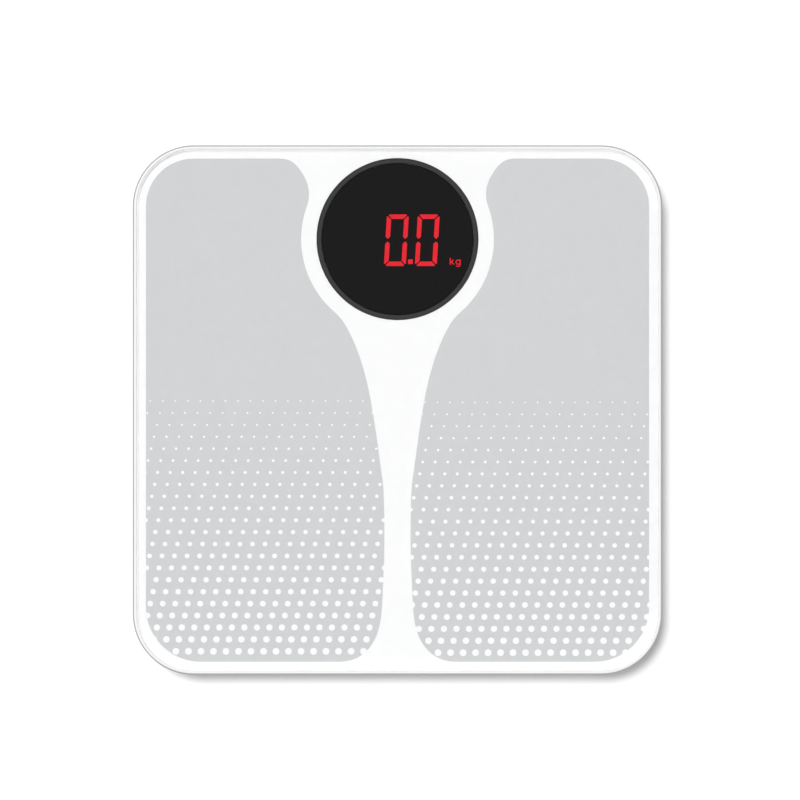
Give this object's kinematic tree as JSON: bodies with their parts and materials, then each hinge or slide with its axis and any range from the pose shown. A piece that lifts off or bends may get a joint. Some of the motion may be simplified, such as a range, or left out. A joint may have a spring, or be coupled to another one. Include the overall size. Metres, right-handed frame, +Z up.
{
  "type": "digital bathroom scale",
  "caption": "Flat square bathroom scale with a glass platform, printed foot zones and a round red LED display, standing on sprung load-cell feet.",
  "frame": {"origin": "on the floor under the middle of the tray", "axes": "+Z up, +Y away from the user towards the display, +X to the user's right"},
  "size_m": [0.3, 0.3, 0.025],
  "materials": {
    "white_shell": "fine satin moulding",
    "grey_trim": "satin",
    "grey_button": "satin",
    "clear_glass": "polished, tempered",
    "white_print": "white ink on film",
    "grey_print": "grey ink with white halftone dots",
    "ring_print": "dark grey ink",
    "black_window": "black tinted",
    "red_segments": "lit red light guide",
    "led_chips": "LED dies",
    "white_module": "moulded",
    "foam_tape": "closed-cell foam",
    "black_foam": "closed-cell foam",
    "board_green": "solder mask",
    "screw_steel": "zinc plated",
    "header_plastic": "natural nylon",
    "chip_black": "moulded",
    "chip_brown": "ceramic chips",
    "switch_black": "moulded",
    "plunger_white": "moulded",
    "battery_sleeve": "printed sleeve on a steel can",
    "contact_nickel": "nickel plated",
    "spring_nickel": "nickel plated wire",
    "wire_red": "insulation",
    "wire_black": "insulation",
    "wire_white": "insulation",
    "grey_cap": "moulded",
    "pad_rubber": "soft rubber",
    "cell_steel": "stamped alloy steel",
    "gauge_silicone": "white silicone coat"
  },
  "bodies": {
    "scale_base": {"base_tray": "white_shell", "edge_trim": "grey_trim", "glass_platform": "clear_glass", "print_film": "white_print", "left_foot_zone": "grey_print", "right_foot_zone": "grey_print", "mounting_tape": "foam_tape", "light_gasket": "black_foam", "display_window": "black_window", "display_ring": "ring_print", "digit_segments": "red_segments", "segment_leds": "led_chips", "led_module": "white_module", "main_board": "board_green", "board_screws": "screw_steel", "wire_headers": "header_plastic", "controller_chip": "chip_black", "board_components": "chip_brown", "tact_switch": "switch_black", "rear_battery": "battery_sleeve", "front_battery": "battery_sleeve", "positive_contact": "contact_nickel", "negative_contact": "contact_nickel", "bridge_contact": "contact_nickel", "contact_springs": "spring_nickel", "positive_lead": "wire_red", "negative_lead": "wire_black", "front_left_wires": "wire_white", "front_right_wires": "wire_white", "rear_left_wires": "wire_white", "rear_right_wires": "wire_white"},
    "battery_door": {"battery_door": "white_shell"},
    "unit_button": {"unit_button": "grey_button", "switch_plunger": "plunger_white"},
    "front_left_foot": {"front_left_foot_cap": "grey_cap", "front_left_foot_pad": "pad_rubber", "front_left_load_cell": "cell_steel", "front_left_strain_gauge": "gauge_silicone"},
    "front_right_foot": {"front_right_foot_cap": "grey_cap", "front_right_foot_pad": "pad_rubber", "front_right_load_cell": "cell_steel", "front_right_strain_gauge": "gauge_silicone"},
    "rear_left_foot": {"rear_left_foot_cap": "grey_cap", "rear_left_foot_pad": "pad_rubber", "rear_left_load_cell": "cell_steel", "rear_left_strain_gauge": "gauge_silicone"},
    "rear_right_foot": {"rear_right_foot_cap": "grey_cap", "rear_right_foot_pad": "pad_rubber", "rear_right_load_cell": "cell_steel", "rear_right_strain_gauge": "gauge_silicone"}
  },
  "joints": [
    {"name": "front_left_foot_travel", "type": "slide", "parent": "scale_base", "child": "front_left_foot", "axis": [0, 0, 1], "range_m": [0, 0.0006], "stiffness_N_per_m": 20000, "springref_m": -0.0003, "deforming": ["front_left_load_cell"]},
    {"name": "front_right_foot_travel", "type": "slide", "parent": "scale_base", "child": "front_right_foot", "axis": [0, 0, 1], "range_m": [0, 0.0006], "stiffness_N_per_m": 20000, "springref_m": -0.0003, "deforming": ["front_right_load_cell"]},
    {"name": "rear_left_foot_travel", "type": "slide", "parent": "scale_base", "child": "rear_left_foot", "axis": [0, 0, 1], "range_m": [0, 0.0006], "stiffness_N_per_m": 20000, "springref_m": -0.0003, "deforming": ["rear_left_load_cell"]},
    {"name": "rear_right_foot_travel", "type": "slide", "parent": "scale_base", "child": "rear_right_foot", "axis": [0, 0, 1], "range_m": [0, 0.0006], "stiffness_N_per_m": 20000, "springref_m": -0.0003, "deforming": ["rear_right_load_cell"]},
    {"name": "battery_door_hinge", "type": "hinge", "parent": "scale_base", "child": "battery_door", "pos_m": [0, -0.0062, 0.0059], "axis": [-1, 0, 0], "range_deg": [0, 95]},
    {"name": "unit_button_press", "type": "slide", "parent": "scale_base", "child": "unit_button", "axis": [0, 0, 1], "range_m": [0, 0.0005], "stiffness_N_per_m": 600}
  ]
}
